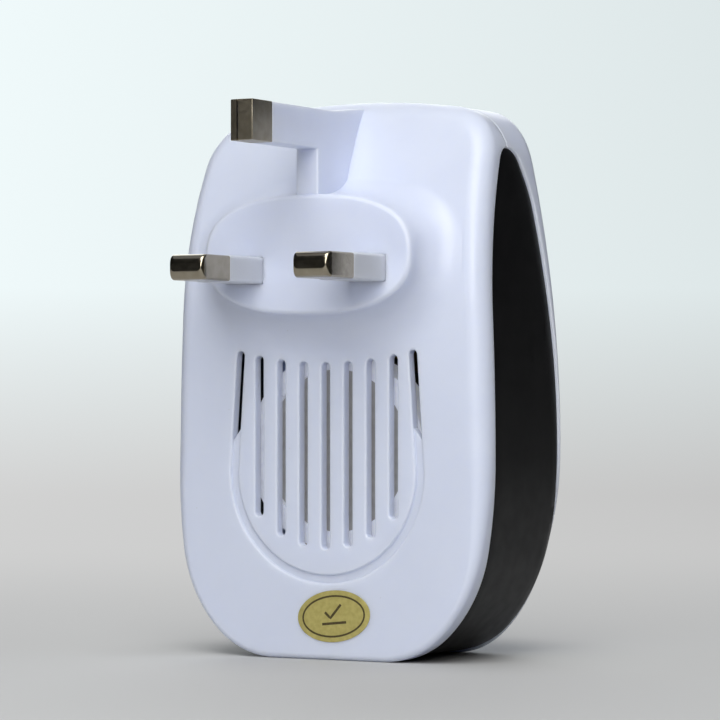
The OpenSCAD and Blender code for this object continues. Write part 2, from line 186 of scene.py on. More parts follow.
def band_edges():
    """The band's rear and front edges seen from the side, as points (depth, height) up to its tip."""
    rear = arc((BAND_REAR_Y, BAND_CURVE_Z), BAND_CURVE_R, 90, 115)
    tip = arc(rear[-1], BAND_TIP_R, 115, 180)
    rear = np.vstack([[BAND_REAR_Y, -5, 90], rear, tip[1:]])[:, :2]
    front = arc(tip[-1], BAND_TIP_FRONT_R, 180, 236)
    neck = front[-1, :2] + 2.5 * np.array([math.cos(math.radians(236)), math.sin(math.radians(236))])
    parts = [front]
    start = neck
    for radius, first, last in [(20, 236, 254), (175, 254, 270), (90, 270, 285), (20, 285, 300)]:
        parts.append(arc(start, radius, first, last))
        start = parts[-1][-1]
    front = np.vstack(parts + [[start[0], -5, 270]])[:, :2]
    return rear, front


REAR_EDGE, FRONT_EDGE = band_edges()
SEAM_Y, TIP_Z = REAR_EDGE[-1]


def rear_seam(z):
    """Depth where the rear shell ends at height z."""
    return np.interp(z, REAR_EDGE[:, 1], REAR_EDGE[:, 0])


def front_seam(z):
    """Depth where the front shell ends at height z."""
    return np.interp(z, FRONT_EDGE[::-1, 1], FRONT_EDGE[::-1, 0])


def outline_columns(spacing=0.66):
    """Points and outward normals round the outline, closer together at the band's tips."""
    dense = half_outline()
    length = np.concatenate([[0], np.cumsum(np.hypot(*np.diff(dense[:, :2], axis=0).T))])
    even = np.linspace(0, length[-1], int(length[-1] / spacing) + 1)
    at_tip = np.interp(TIP_Z, dense[:, 1], length)
    turns = np.radians(np.arange(0, 76, 9))
    near_tip = at_tip - BAND_TIP_R * (1 - np.cos(turns))
    clear = (even < near_tip[-1] - 0.2) | (even > at_tip + 0.2)
    along = np.sort(np.concatenate([even[clear], near_tip]))
    x, z, heading = (np.interp(along, length, dense[:, i]) for i in range(3))
    turn = np.radians(heading)
    points = np.column_stack([x, z])
    normals = np.column_stack([np.sin(turn), -np.cos(turn)])
    flip = np.array([-1, 1])
    return (np.vstack([points, points[-2:0:-1] * flip]),
            np.vstack([normals, normals[-2:0:-1] * flip]))


P, N = outline_columns()


# ---- Meshes ----


def make_object(name, vertices, faces):
    """A new object from vertices in millimetres."""
    mesh = bpy.data.meshes.new(name)
    mesh.from_pydata((np.asarray(vertices, float) * MM).tolist(), [], faces)
    work = bmesh.new()
    work.from_mesh(mesh)
    bmesh.ops.remove_doubles(work, verts=work.verts, dist=1e-7)
    bmesh.ops.recalc_face_normals(work, faces=work.faces)
    work.to_mesh(mesh)
    work.free()
    piece = bpy.data.objects.new(name, mesh)
    bpy.context.scene.collection.objects.link(piece)
    return piece


def loft(name, rings):
    """A closed solid through a list of closed rings, each an array (n, 3) of the same length."""
    n = len(rings[0])
    faces = [list(range(n))[::-1]]
    for j in range(len(rings) - 1):
        for k in range(n):
            m = (k + 1) % n
            faces.append([j * n + k, j * n + m, (j + 1) * n + m, (j + 1) * n + k])
    faces.append([(len(rings) - 1) * n + k for k in range(n)])
    return make_object(name, np.vstack(rings), faces)


def bake(piece):
    """Applies every modifier."""
    graph = bpy.context.evaluated_depsgraph_get()
    mesh = bpy.data.meshes.new_from_object(piece.evaluated_get(graph))
    piece.modifiers.clear()
    piece.data = mesh


def combine(piece, other, operation, solver="EXACT"):
    """Cuts other from piece or adds it, and removes other."""
    tool = piece.modifiers.new("combine", "BOOLEAN")
    tool.operation = operation
    tool.solver = solver
    tool.object = other
    bake(piece)
    bpy.data.objects.remove(other)


def bevelled(piece, width, segments=3, angle=35):
    tool = piece.modifiers.new("bevel", "BEVEL")
    tool.width = width * MM
    tool.segments = segments
    tool.limit_method = "ANGLE"
    tool.angle_limit = math.radians(angle)
    bake(piece)
    return piece


def smooth_shaded(piece, angle=32):
    """Smooth shading that keeps true edges sharp and flat faces flat."""
    for face in piece.data.polygons:
        face.use_smooth = True
    piece.data.set_sharp_from_angle(angle=math.radians(angle))
    tool = piece.modifiers.new("normals", "WEIGHTED_NORMAL")
    tool.keep_sharp = True
    bake(piece)
    return piece


def finish_piece(piece, slot, material, *nodes):
    """Gives a new piece its material and its body, and hides the CAD nodes that it stands for."""
    piece.data.materials.clear()
    piece.data.materials.append(material)
    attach(piece, "root")
    if nodes:
        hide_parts(*nodes)
    return piece


def ring_at(inset, depth):
    """Ring of points a distance in from the outline; depth is an array or a function of x and z."""
    flat = P - N * np.reshape(inset, (-1, 1))
    y = depth(flat[:, 0], flat[:, 1]) if callable(depth) else np.broadcast_to(depth, len(flat))
    return np.column_stack([flat[:, 0], y, flat[:, 1]])


def quarter(steps):
    """Angles of a quarter turn, without its first."""
    return np.radians(np.linspace(0, 90, steps + 1)[1:])


# ---- Rear shell ----


def oval_ring(toward, grow, depth, scale=1.0):
    """Ring of the oval plug face, moved out by grow, with a point on the ray to each point of toward."""
    angle = np.arctan2(toward[:, 1] - FACE_Z, toward[:, 0])
    if grow > 0:
        rim = oval_ring(toward, 0, 0)
        grow = grow * (1 - 0.5 * np.maximum(0, (rim[:, 2] - FACE_Z) / FACE_B) ** 2)
    reach = (np.abs(np.cos(angle) / (FACE_A + grow)) ** FACE_POWER
             + np.abs(np.sin(angle) / (FACE_B + grow)) ** FACE_POWER) ** (-1 / FACE_POWER) * scale
    # the flare stays inside the rounded edge, without folding over where the two come close
    room = np.hypot(toward[:, 0], toward[:, 1] - FACE_Z) - 0.3 - reach
    reach = reach + room - 0.2 * np.logaddexp(0, room / 0.2)
    x, z = reach * np.cos(angle), FACE_Z + reach * np.sin(angle)
    y = depth(z) if callable(depth) else np.full(len(x), float(depth))
    return np.column_stack([x, y, z])


def between(first, last, steps, depth):
    """Rings that lead from one ring to another; depth is a function of x and z."""
    rings = []
    for t in np.linspace(0, 1, steps + 1)[1:]:
        ring = first + (last - first) * t
        ring[:, 1] = depth(ring[:, 0], ring[:, 2])
        rings.append(ring)
    return rings


def rear_shell_body():
    edge = EDGE_R - (EDGE_R - TOP_EDGE_R) * smooth((P[:, 1] - 80) / (BODY_H - 80))
    edge = FOOT_EDGE_R + (edge - FOOT_EDGE_R) * smooth((P[:, 1] - 4) / 34)
    toward = P - N * edge[:, None]
    rings = [oval_ring(toward, -RIM, PLUG_Y, scale) for scale in (0.3, 0.65, 1.0)]
    for turn in quarter(5):
        rings.append(oval_ring(toward, -RIM * (1 - math.sin(turn)), PLUG_Y - RIM * (1 - math.cos(turn))))
    top = PLUG_Y - RIM
    for turn in quarter(16):
        rings.append(oval_ring(toward, FLARE * (1 - math.cos(turn)),
                               lambda z, s=math.sin(turn): top - s * (top - back_at(z))))
    start = ring_at(edge, lambda x, z: back_at(z))
    rings += between(rings[-1], start, 22, lambda x, z: back_at(z))
    for turn in quarter(9):
        rings.append(ring_at(edge * (1 - math.sin(turn)),
                             lambda x, z, c=math.cos(turn): back_at(z) - edge * (1 - c)))
    seam = rear_seam(P[:, 1])
    last = rings[-1][:, 1]
    for t in (0.5, 1.0):
        rings.append(ring_at(0, last + (seam + LIP - last) * t))
    for turn in quarter(4):
        rings.append(ring_at(LIP * (1 - math.cos(turn)), seam + LIP * (1 - math.sin(turn))))
    rings.append(ring_at(WALL, seam))
    inner_r = 1.5
    for turn in quarter(3)[::-1]:
        rings.append(ring_at(WALL + inner_r * (1 - math.sin(turn)),
                             lambda x, z, c=math.cos(turn): back_at(z) - WALL - inner_r * (1 - c)))
    rings.append(ring_at(WALL + inner_r, lambda x, z: back_at(z) - WALL))
    hollow = 2.4
    rings += between(rings[-1], oval_ring(toward, -hollow, 0), 5, lambda x, z: back_at(z) - WALL)
    rings += [oval_ring(toward, -hollow, PLUG_Y - 2.2, scale) for scale in (1.0, 0.5)]
    return loft("rear_casing", rings)


def prism(name, side_view, half_width):
    """A side view, as points (depth, height), carried across from -half_width to half_width."""
    n = len(side_view)
    rings = [[(x, y, z) for y, z in side_view] for x in (-half_width, half_width)]
    faces = [list(range(n)), list(range(2 * n - 1, n - 1, -1))]
    faces += [[k, (k + 1) % n, n + (k + 1) % n, n + k] for k in range(n)]
    return make_object(name, np.vstack(rings), faces)


def box_solid(name, low, high):
    x0, y0, z0 = low
    x1, y1, z1 = high
    side_view = [(y0, z0), (y1, z0), (y1, z1), (y0, z1)]
    piece = prism(name, side_view, (x1 - x0) / 2)
    piece.data.transform(Matrix_translation((x0 + x1) / 2))
    return piece


def Matrix_translation(x):
    from mathutils import Matrix
    return Matrix.Translation((x * MM, 0, 0))


def earth_rib():
    """The fin above the plug face with the plastic earth pin on it, as one solid."""
    low_z = FACE_Z + 3
    top_z = EARTH_Z + EARTH_H / 2
    under = EARTH_Z - EARTH_H / 2
    face_y = PLUG_Y - 0.45
    cap_y = corners("earth_pin_cap")[0][1]
    back = [(back_at(z) - WALL / 2, z) for z in np.linspace(low_z, top_z - 1, 9)]
    ridge = []
    for t in np.linspace(0, 1, 9):
        y = 6 + (face_y - 4 - 6) * t
        ridge.append((y, top_z + 1 - smooth(t)))
    side_view = back + ridge + [(cap_y, top_z), (cap_y, under), (face_y, under), (face_y, low_z)]
    return bevelled(prism("rib", side_view, EARTH_W / 2), 0.3)


def channel(path, half_width, floor=None, mouth=0.3, top=1.0):
    """A cutter along a path on the flat back, with round ends and a rounded mouth.
    floor is how deep it goes; its mouth widens over the last stretch up to the surface."""
    path = np.array(path, float)
    steps = np.gradient(path, axis=0)
    tangent = steps / np.hypot(*steps.T)[:, None]
    side = np.column_stack([tangent[:, 1], -tangent[:, 0]])
    profile = [(mouth, top), (mouth, 0.003)]
    profile += [(mouth * (1 - math.sin(a)), -mouth * (1 - math.cos(a))) for a in quarter(5)]
    foot = 0.2
    if floor < WALL:
        profile.append((0, -floor + foot))
        profile += [(-foot * (1 - math.cos(a)), -floor + foot * (1 - math.sin(a))) for a in quarter(3)]
    else:
        profile.append((0, -floor))
    cap_turns = np.linspace(0, np.pi, 13)[1:-1]
    rings = []
    for grow, rise in profile:
        reach = half_width + grow
        right = path + side * reach
        left = (path - side * reach)[::-1]
        end = [path[-1] + reach * (side[-1] * math.cos(a) + tangent[-1] * math.sin(a)) for a in cap_turns]
        start = [path[0] - reach * (side[0] * math.cos(a) + tangent[0] * math.sin(a)) for a in cap_turns]
        loop = np.vstack([right, end, left, start])
        rings.append(np.column_stack([loop[:, 0], np.full(len(loop), BACK_Y + rise), loop[:, 1]]))
    return rings, len(path), len(cap_turns)


def channel_solid(name, path, half_width, floor, mouth=0.3):
    rings, n_path, n_cap = channel(path, half_width, floor, mouth)
    n = len(rings[0])
    faces = []
    for j in range(len(rings) - 1):
        faces += [[j * n + k, j * n + (k + 1) % n, (j + 1) * n + (k + 1) % n, (j + 1) * n + k]
                  for k in range(n)]
    left_last = 2 * n_path + n_cap - 1
    for ring in (0, len(rings) - 1):
        first = ring * n
        faces += [[first + i, first + i + 1, first + left_last - i - 1, first + left_last - i]
                  for i in range(n_path - 1)]
        faces.append([first + k for k in range(n_path - 1, n_path + n_cap + 1)])
        faces.append([first + k % n for k in range(left_last, left_last + n_cap + 2)])
    return make_object(name, np.vstack(rings), faces)


def cut_sound_slots(shell):
    for k in range(-INNER_SLOTS, INNER_SLOTS + 1):
        x = k * SLOT_PITCH
        reach = 11.5 + 0.265 * k * k
        low = GROOVE_Z - math.sqrt(reach**2 - x**2)
        path = [(x, z) for z in np.linspace(low, SLOT_TOP + k * k / 8, 4)]
        combine(shell, channel_solid("slot", path, SLOT_HALF, WALL + 0.6), "DIFFERENCE")
    turns = np.radians(np.linspace(180, 360, 61))
    bowl = [(GROOVE_R * math.cos(a), GROOVE_Z + GROOVE_R * math.sin(a)) for a in turns]
    x, z = OUTER_SLOT
    arm = [(x + (GROOVE_R - x) * t, z + (GROOVE_Z - z) * t) for t in np.linspace(0, 1, 9)[:-1]]
    horseshoe = [(-px, pz) for px, pz in arm] + bowl + arm[::-1]
    combine(shell, channel_solid("groove", horseshoe, SLOT_HALF - 0.05, GROOVE_DEPTH - 0.08), "DIFFERENCE")
    for side in (-1, 1):
        combine(shell, outer_slot(side), "DIFFERENCE")


def outer_slot(side):
    """The leaning slot at one end of the groove, cut off on a slant."""
    x, z = OUTER_SLOT
    lean = (GROOVE_R - x) / (z - GROOVE_Z)
    outline = [(x - SLOT_HALF * math.cos(a), z + SLOT_HALF * math.sin(a))
               for a in np.linspace(0, np.pi, 13)]
    for dx, dz in ((SLOT_HALF, -0.9), (-SLOT_HALF, 1.3)):
        low = OUTER_SLOT_END + dz
        outline.append((x + dx + lean * (z - low), low))
    outline = np.array(outline) * (side, 1)
    rings = [np.column_stack([outline[:, 0], np.full(len(outline), y), outline[:, 1]])
             for y in (BACK_Y - GROOVE_DEPTH / 2, BACK_Y - WALL - 0.6)]
    return loft("outer_slot", rings)


def build_rear_shell(material):
    shell = rear_shell_body()
    combine(shell, earth_rib(), "UNION")
    for node in ("live_pin_sleeve", "neutral_pin_sleeve"):
        low, high = corners(node)
        hole = box_solid("hole", (low[0] - 0.02, PLUG_Y - 6, low[2] - 0.02),
                         (high[0] + 0.02, PLUG_Y + 1, high[2] + 0.02))
        combine(shell, hole, "DIFFERENCE")
    cut_sound_slots(shell)
    smooth_shaded(shell)
    return finish_piece(shell, "white_shell", material, "rear_shell")


# ---- Front shell and side band ----


def side_profile(samples=40):
    """For each column, the section from the dome over its rounded edge to the side:
    arrays (columns, points) of distance in from the outline, depth and height."""
    turns = np.radians(np.linspace(0, 90, samples // 2 + 1))
    inset = [EDGE_RADII * (1 - math.sin(a)) for a in turns]
    depth = []
    for a, e in zip(turns, inset):
        flat = P - N * e[:, None]
        depth.append(dome_at(flat[:, 0], flat[:, 1]) + EDGE_RADII * (1 - math.cos(a)))
    last = depth[-1]
    rear = rear_seam(P[:, 1])
    for t in np.linspace(0, 1, samples // 2 + 1)[1:]:
        inset.append(np.zeros(len(P)))
        depth.append(last + (rear - last) * t)
    return np.array(inset).T, np.array(depth).T


EDGE_RADII = FRONT_FOOT_R + (FRONT_EDGE_R - FRONT_FOOT_R) * smooth((P[:, 1] - 3) / 25)
PROFILE_INSET, PROFILE_DEPTH = side_profile()


def cut_profile(k, low, high, points):
    """Column k's section between two depths, as points (inset, depth) evenly spaced."""
    inset, depth = PROFILE_INSET[k], PROFILE_DEPTH[k]
    length = np.concatenate([[0], np.cumsum(np.hypot(np.diff(inset), np.diff(depth)))])
    start = 0.0 if low is None else np.interp(low, depth, length)
    stop = np.interp(high, depth, length)
    along = np.linspace(start, stop, points)
    return np.column_stack([np.interp(along, length, inset), np.interp(along, length, depth)])


def inward(section):
    """Unit vectors that point into the body from each point of a section."""
    step = np.gradient(section, axis=0)
    step /= np.maximum(np.hypot(*step.T), 1e-9)[:, None]
    return np.column_stack([step[:, 1], -step[:, 0]])


def place(k, section):
    """Points in space of a section (inset, depth) at column k."""
    flat = P[k] - N[k] * section[:, :1]
    return np.column_stack([flat[:, 0], section[:, 1], flat[:, 1]])


def front_column(k, points=12):
    """One column of the front shell from the start of its rounded edge, round its lip, to the inside."""
    seam = front_seam(P[k, 1])
    section = cut_profile(k, None, seam, points)
    into = inward(section)[-1]
    along = np.array([-into[1], into[0]])
    corner = section[-1]
    before = cut_profile(k, None, seam - LIP * max(0.2, along[1]), points)
    lip = [corner - along * LIP * (1 - math.sin(a)) + into * LIP * (1 - math.cos(a)) for a in quarter(4)]
    inside = [corner + into * WALL]
    deep = corner + into * WALL
    deep = np.array([max(deep[0], WALL), deep[1] - 0.01])
    return place(k, np.vstack([before, lip, inside, [deep]]))


def build_front_shell(material):
    middle = np.array([0, 42.0])
    start = ring_at(EDGE_RADII, dome_at)
    centre = np.column_stack([np.full(len(P), middle[0]), np.zeros(len(P)), np.full(len(P), middle[1])])
    rings = []
    for t in np.concatenate([[0.03], np.linspace(0.08, 0.97, 30)]):
        ring = centre + (start - centre) * t
        ring[:, 1] = dome_at(ring[:, 0], ring[:, 2])
        rings.append(ring)
    columns = np.array([front_column(k) for k in range(len(P))])
    rings += [columns[:, j] for j in range(columns.shape[1])]
    inner_start = ring_at(WALL + 2.2, lambda x, z: dome_at(x, z) + WALL)
    inner_start[:, 1] = np.minimum(inner_start[:, 1], rings[-1][:, 1] - 0.05)
    for t in (1.0, 0.8, 0.6, 0.4, 0.2, 0.05):
        ring = centre + (inner_start - centre) * t
        if t < 1:
            ring[:, 1] = dome_at(ring[:, 0], ring[:, 2]) + WALL
        rings.append(ring)
    shell = loft("front_casing", rings)
    hole = round_cutter(0, LENS_Z, 2.5, dome_at(np.array(0.0), np.array(LENS_Z)))
    combine(shell, hole, "DIFFERENCE")
    smooth_shaded(shell)
    return finish_piece(shell, "white_shell", material, "front_shell")


def circle_ring(x, z, radius, y, n=64):
    turns = np.linspace(0, 2 * np.pi, n, endpoint=False)
    return np.column_stack([x + radius * np.cos(turns), np.full(n, float(y)), z + radius * np.sin(turns)])


def round_cutter(x, z, radius, surface_y):
    """A round hole through the front with a small chamfer at its mouth."""
    rings = [circle_ring(x, z, radius + 0.6, surface_y - 1), circle_ring(x, z, radius + 0.35, surface_y - 0.05),
             circle_ring(x, z, radius, surface_y + 0.35), circle_ring(x, z, radius, surface_y + 6)]
    return loft("hole", rings)


def build_band(material):
    """A closed strip along the outline from tip to tip, under the foot."""
    n = len(P)
    half = n // 2
    rear, front = rear_seam(P[:, 1]) - GAP, front_seam(P[:, 1]) + GAP
    wide = [k for k in range(-half, half) if P[k % n, 1] < TIP_Z - 0.001
            and rear[k % n] - front[k % n] > 0.12]
    across = 16
    edge = 0.15
    rings = []
    for k in wide:
        k %= n
        section = cut_profile(k, front[k], rear[k], across)
        into = inward(section)
        pad = smooth((FOOT_PAD_HALF + 0.6 - abs(P[k, 0])) / 0.8) * (P[k, 1] < 1)
        step = BAND_STEP - (BAND_STEP - 0.02) * pad
        outer = section + into * step
        outer[0] = section[0] + into[0] * (step + edge)
        outer[-1] = section[-1] + into[-1] * (step + edge)
        inner = section + into * (BAND_STEP + 1.2)
        rings.append(place(k, np.vstack([outer, inner[::-1]])))
    band = loft("side_trim", rings)
    smooth_shaded(band)
    return finish_piece(band, "black_band", material, "side_band")


# ---- Pins ----


def rounded_box_ring(x, z, half_w, half_h, corner, y, steps=6):
    """Ring of a rectangle with round corners, at depth y."""
    corner = min(corner, half_w * 0.99, half_h * 0.99)
    points = []
    for quadrant, (sx, sz) in enumerate(((1, 1), (-1, 1), (-1, -1), (1, -1))):
        for a in np.radians(90 * quadrant + np.linspace(0, 90, steps + 1)):
            points.append((x + sx * (half_w - corner) + corner * math.cos(a), y,
                           z + sz * (half_h - corner) + corner * math.sin(a)))
    return np.array(points)


def blade(name, node, sleeve_node):
    """The metal blade beyond its sleeve, with a rounded nose, and its foot inside the body."""
    low, high = corners(node)
    x, z = (low[0] + high[0]) / 2, PIN_Z
    width = corners(sleeve_node)[1][0] - corners(sleeve_node)[0][0] - 0.2
    height = corners(sleeve_node)[1][2] - corners(sleeve_node)[0][2] - 0.2
    half_w, half_h = width / 2, height / 2
    sleeve_end = corners(sleeve_node)[1][1]
    corner = 0.35
    rings = [rounded_box_ring(x, z, half_w - 0.35, half_h - 0.35, 0.1, low[1]),
             rounded_box_ring(x, z, half_w - 0.35, half_h - 0.35, 0.1, sleeve_end - 0.02),
             rounded_box_ring(x, z, half_w - 0.12, half_h - 0.12, corner, sleeve_end),
             rounded_box_ring(x, z, half_w, half_h, corner, sleeve_end + 0.12)]
    nose_y, nose_w, nose_h = 1.4, 0.5, 1.45
    rings.append(rounded_box_ring(x, z, half_w, half_h, corner, high[1] - nose_y))
    for turn in quarter(9):
        shrink = 1 - math.cos(turn)
        rings.append(rounded_box_ring(x, z, half_w - nose_w * shrink, half_h - nose_h * shrink,
                                      corner + 0.75 * shrink, high[1] - nose_y * (1 - math.sin(turn))))
    return loft(name, rings)


def sleeve(name, node):
    """The insulating sleeve round a blade."""
    low, high = corners(node)
    x, z = (low[0] + high[0]) / 2, (low[2] + high[2]) / 2
    half_w, half_h = (high[0] - low[0]) / 2, (high[2] - low[2]) / 2
    rings = []
    for shrink, y in ((0, low[1]), (0, high[1] - 0.25), (0.08, high[1] - 0.06), (0.22, high[1]),
                      (0.33, high[1]), (0.33, low[1])):
        rings.append(rounded_box_ring(x, z, half_w - shrink, half_h - shrink, 0.4 - shrink * 0.6, y))
    rings.append(rings[0])
    n = len(rings[0])
    faces = [[j * n + k, j * n + (k + 1) % n, (j + 1) * n + (k + 1) % n, (j + 1) * n + k]
             for j in range(len(rings) - 1) for k in range(n)]
    return make_object(name, np.vstack(rings), faces)


def earth_cap():
    """The folded sheet-metal cap: two flaps that meet at a seam on its end."""
    low, high = corners("earth_pin_cap")
    skin = 0.35
    seam_x = EARTH_W / 6
    cap = bevelled(box_solid("earth_cap", low, high), 0.13, 3)
    tongue = box_solid("tongue", (low[0] + skin, low[1] - 1, low[2] + skin),
                       (high[0] - skin, high[1] - skin, high[2] - skin))
    combine(cap, tongue, "DIFFERENCE")
    seam = box_solid("seam", (seam_x - 0.15, high[1] - skin - 0.2, low[2] - 1),
                     (seam_x + 0.15, high[1] + 1, high[2] + 1))
    combine(cap, seam, "DIFFERENCE")
    for vertex in cap.data.vertices:
        x, y = vertex.co.x / MM, vertex.co.y / MM
        if y > high[1] - skin - 0.05:
            # each flap springs back a little from the seam
            reach = (high[0] - seam_x) if x > seam_x else (seam_x - low[0])
            share = min(1, abs(x - seam_x) / reach)
            vertex.co.y -= 0.22 * share * MM if x > seam_x else 0.1 * share * MM
    return cap


# ---- Sticker and lens ----


def tilted(points, middle):
    """Flat points (x, z) turned about the sticker's middle: it was put on a little askew."""
    turn = math.radians(STICKER_TILT)
    x, z = np.asarray(points, float).T
    return np.column_stack([middle[0] + x * math.cos(turn) - z * math.sin(turn),
                            middle[1] + x * math.sin(turn) + z * math.cos(turn)])


def oval(half_w, half_h, n=96):
    turns = np.linspace(0, 2 * np.pi, n, endpoint=False)
    return np.column_stack([half_w * np.cos(turns), half_h * np.sin(turns)])


def oval_disc(name, middle, half_w, half_h, y0, y1, edge):
    def ring(shrink, y):
        flat = tilted(oval(half_w - shrink, half_h - shrink), middle)
        return np.column_stack([flat[:, 0], np.full(len(flat), y), flat[:, 1]])

    return loft(name, [ring(0, y0), ring(0, y1 - edge), ring(edge * 0.3, y1 - edge * 0.3), ring(edge, y1),
                       ring(half_h * 0.5, y1)])


def ribbon(name, path, half_width, y0, y1, closed=False):
    """A flat printed line of even width along a path of (x, z) points."""
    path = np.array(path, float)
    if closed:
        step = np.roll(path, -1, axis=0) - np.roll(path, 1, axis=0)
    else:
        step = np.gradient(path, axis=0)
    step /= np.hypot(*step.T)[:, None]
    side = np.column_stack([step[:, 1], -step[:, 0]]) * half_width
    rows = [path + side, path - side]
    n = len(path)
    vertices = np.vstack([np.column_stack([row[:, 0], np.full(n, y), row[:, 1]])
                          for y in (y0, y1) for row in rows])
    a, b, c, d = 0, n, 2 * n, 3 * n
    faces = []
    for k in range(n if closed else n - 1):
        m = (k + 1) % n
        faces += [[c + k, c + m, d + m, d + k], [a + k, b + k, b + m, a + m],
                  [a + k, a + m, c + m, c + k], [b + k, d + k, d + m, b + m]]
    if not closed:
        faces += [[a, c, d, b], [a + n - 1, b + n - 1, d + n - 1, c + n - 1]]
    return make_object(name, vertices, faces)


def build_sticker(foil, ink):
    low, high = corners("inspection_sticker")
    middle = ((low[0] + high[0]) / 2, (low[2] + high[2]) / 2)
    half_w, half_h = (high[0] - low[0]) / 2, (high[2] - low[2]) / 2
    base = oval_disc("sticker_foil", middle, half_w, half_h, low[1], high[1], 0.08)
    smooth_shaded(base)
    finish_piece(base, "sticker_gold", foil, "inspection_sticker")
    print_y = (high[1] - 0.005, high[1] + 0.012)
    loop = tilted(oval(half_w - 1.0, half_h - 0.9), middle)
    ring = ribbon("sticker_ring", loop, 0.15, *print_y, closed=True)
    finish_piece(ring, "sticker_gold", ink)
    corner = [(1.5, 0.75), (0.6, -0.25), (-1.5, 1.75)]
    tick = []
    for (x0, z0), (x1, z1) in zip(corner, corner[1:]):
        tick += [(x0 + (x1 - x0) * t, z0 + (z1 - z0) * t) for t in np.linspace(0, 1, 6)[:-1]]
    tick.append(corner[-1])
    mark = ribbon("sticker_tick", tilted(tick, middle), 0.2, *print_y)
    finish_piece(mark, "sticker_gold", ink)
    line = tilted([(x, -1.1) for x in np.linspace(-2.2, 2.2, 12)], middle)
    finish_piece(ribbon("sticker_line", line, 0.2, *print_y), "sticker_gold", ink)


def build_lens(material):
    low, high = corners("indicator_lens")
    radius = (high[0] - low[0]) / 2 - 0.04
    surface = dome_at(np.array(0.0), np.array(LENS_Z))
    rings = [circle_ring(0, LENS_Z, radius, high[1])]
    rings.append(circle_ring(0, LENS_Z, radius, surface + 0.3))
    for turn in quarter(6):
        rings.append(circle_ring(0, LENS_Z, radius * math.cos(turn * 0.97), surface + 0.3 - 0.28 * math.sin(turn)))
    lens = loft("status_lens", rings)
    smooth_shaded(lens)
    return finish_piece(lens, "lens_red", material, "indicator_lens")


# ---- Materials ----


class Look:
    """A principled material that is put together from a few procedural layers."""

    def __init__(self, name, colour, roughness, **sockets):
        self.material = bpy.data.materials.new(name)
        self.material.use_nodes = True
        self.tree = self.material.node_tree
        self.shader = self.tree.nodes["Principled BSDF"]
        self.colour = colour
        self.shader.inputs["Base Color"].default_value = (*colour, 1)
        self.shader.inputs["Roughness"].default_value = roughness
        for socket, value in sockets.items():
            self.shader.inputs[socket.replace("_", " ")].default_value = value
        self.place = self.tree.nodes.new("ShaderNodeTexCoord").outputs["Object"]
        self.normal = None

    def node(self, kind, **settings):
        made = self.tree.nodes.new(kind)
        for name, value in settings.items():
            setattr(made, name, value)
        return made

    def noise(self, size_mm, detail=2.0, stretch=None):
        """Noise whose features are about size_mm across."""
        source = self.place
        if stretch:
            mapping = self.node("ShaderNodeMapping")
            mapping.inputs["Scale"].default_value = stretch
            self.tree.links.new(source, mapping.inputs["Vector"])
            source = mapping.outputs["Vector"]
        made = self.node("ShaderNodeTexNoise")
        made.inputs["Scale"].default_value = 1 / (size_mm * MM)
        made.inputs["Detail"].default_value = detail
        self.tree.links.new(source, made.inputs["Vector"])
        return made.outputs["Fac"]

    def ramp(self, source, low, high, first=0.0, last=1.0):
        made = self.node("ShaderNodeMapRange")
        made.inputs["From Min"].default_value = low
        made.inputs["From Max"].default_value = high
        made.inputs["To Min"].default_value = first
        made.inputs["To Max"].default_value = last
        self.tree.links.new(source, made.inputs["Value"])
        return made.outputs["Result"]

    def mottle(self, other, size_mm, low=0.35, high=0.65, detail=2.0, stretch=None):
        """Varies the colour towards another one in soft patches."""
        mix = self.node("ShaderNodeMix", data_type="RGBA")
        base = self.shader.inputs["Base Color"]
        if base.is_linked:
            self.tree.links.new(base.links[0].from_socket, mix.inputs[6])
        else:
            mix.inputs[6].default_value = (*self.colour, 1)
        mix.inputs[7].default_value = (*other, 1)
        self.tree.links.new(self.ramp(self.noise(size_mm, detail, stretch), low, high), mix.inputs[0])
        self.tree.links.new(mix.outputs[2], base)
        return self

    def polish(self, first, last, size_mm, detail=3.0, stretch=None):
        """Varies the roughness between two values."""
        fac = self.ramp(self.noise(size_mm, detail, stretch), 0.3, 0.7, first, last)
        self.tree.links.new(fac, self.shader.inputs["Roughness"])
        return self

    def grain(self, size_mm, depth_mm, strength=0.5, detail=2.0, stretch=None):
        """Adds fine relief."""
        bump = self.node("ShaderNodeBump")
        bump.inputs["Strength"].default_value = strength
        bump.inputs["Distance"].default_value = depth_mm * MM
        self.tree.links.new(self.noise(size_mm, detail, stretch), bump.inputs["Height"])
        if self.normal is not None:
            self.tree.links.new(self.normal, bump.inputs["Normal"])
        self.normal = bump.outputs["Normal"]
        self.tree.links.new(self.normal, self.shader.inputs["Normal"])
        return self

    def specks(self, other, spacing_mm, size=0.08, amount=1.0):
        """Scatters small specks of dust."""
        cells = self.node("ShaderNodeTexVoronoi", feature="F1")
        cells.inputs["Scale"].default_value = 1 / (spacing_mm * MM)
        self.tree.links.new(self.place, cells.inputs["Vector"])
        mix = self.node("ShaderNodeMix", data_type="RGBA")
        base = self.shader.inputs["Base Color"]
        if base.is_linked:
            self.tree.links.new(base.links[0].from_socket, mix.inputs[6])
        else:
            mix.inputs[6].default_value = (*self.colour, 1)
        mix.inputs[7].default_value = (*other, 1)
        self.tree.links.new(self.ramp(cells.outputs["Distance"], size, size * 0.5, 0, amount), mix.inputs[0])
        self.tree.links.new(mix.outputs[2], base)
        return self


def white_plastic(name="moulded_white"):
    look = Look(name, (0.69, 0.735, 0.88), 0.34, IOR=1.49, Subsurface_Weight=0.75,
                Subsurface_Scale=2 * MM, Subsurface_Radius=(1, 1, 1))
    look.mottle((0.675, 0.72, 0.865), 9).specks((0.52, 0.52, 0.56), 6.5, 0.02, 0.5)
    look.polish(0.3, 0.4, 3)
    return look.grain(0.35, 0.004, 0.5, 3).material


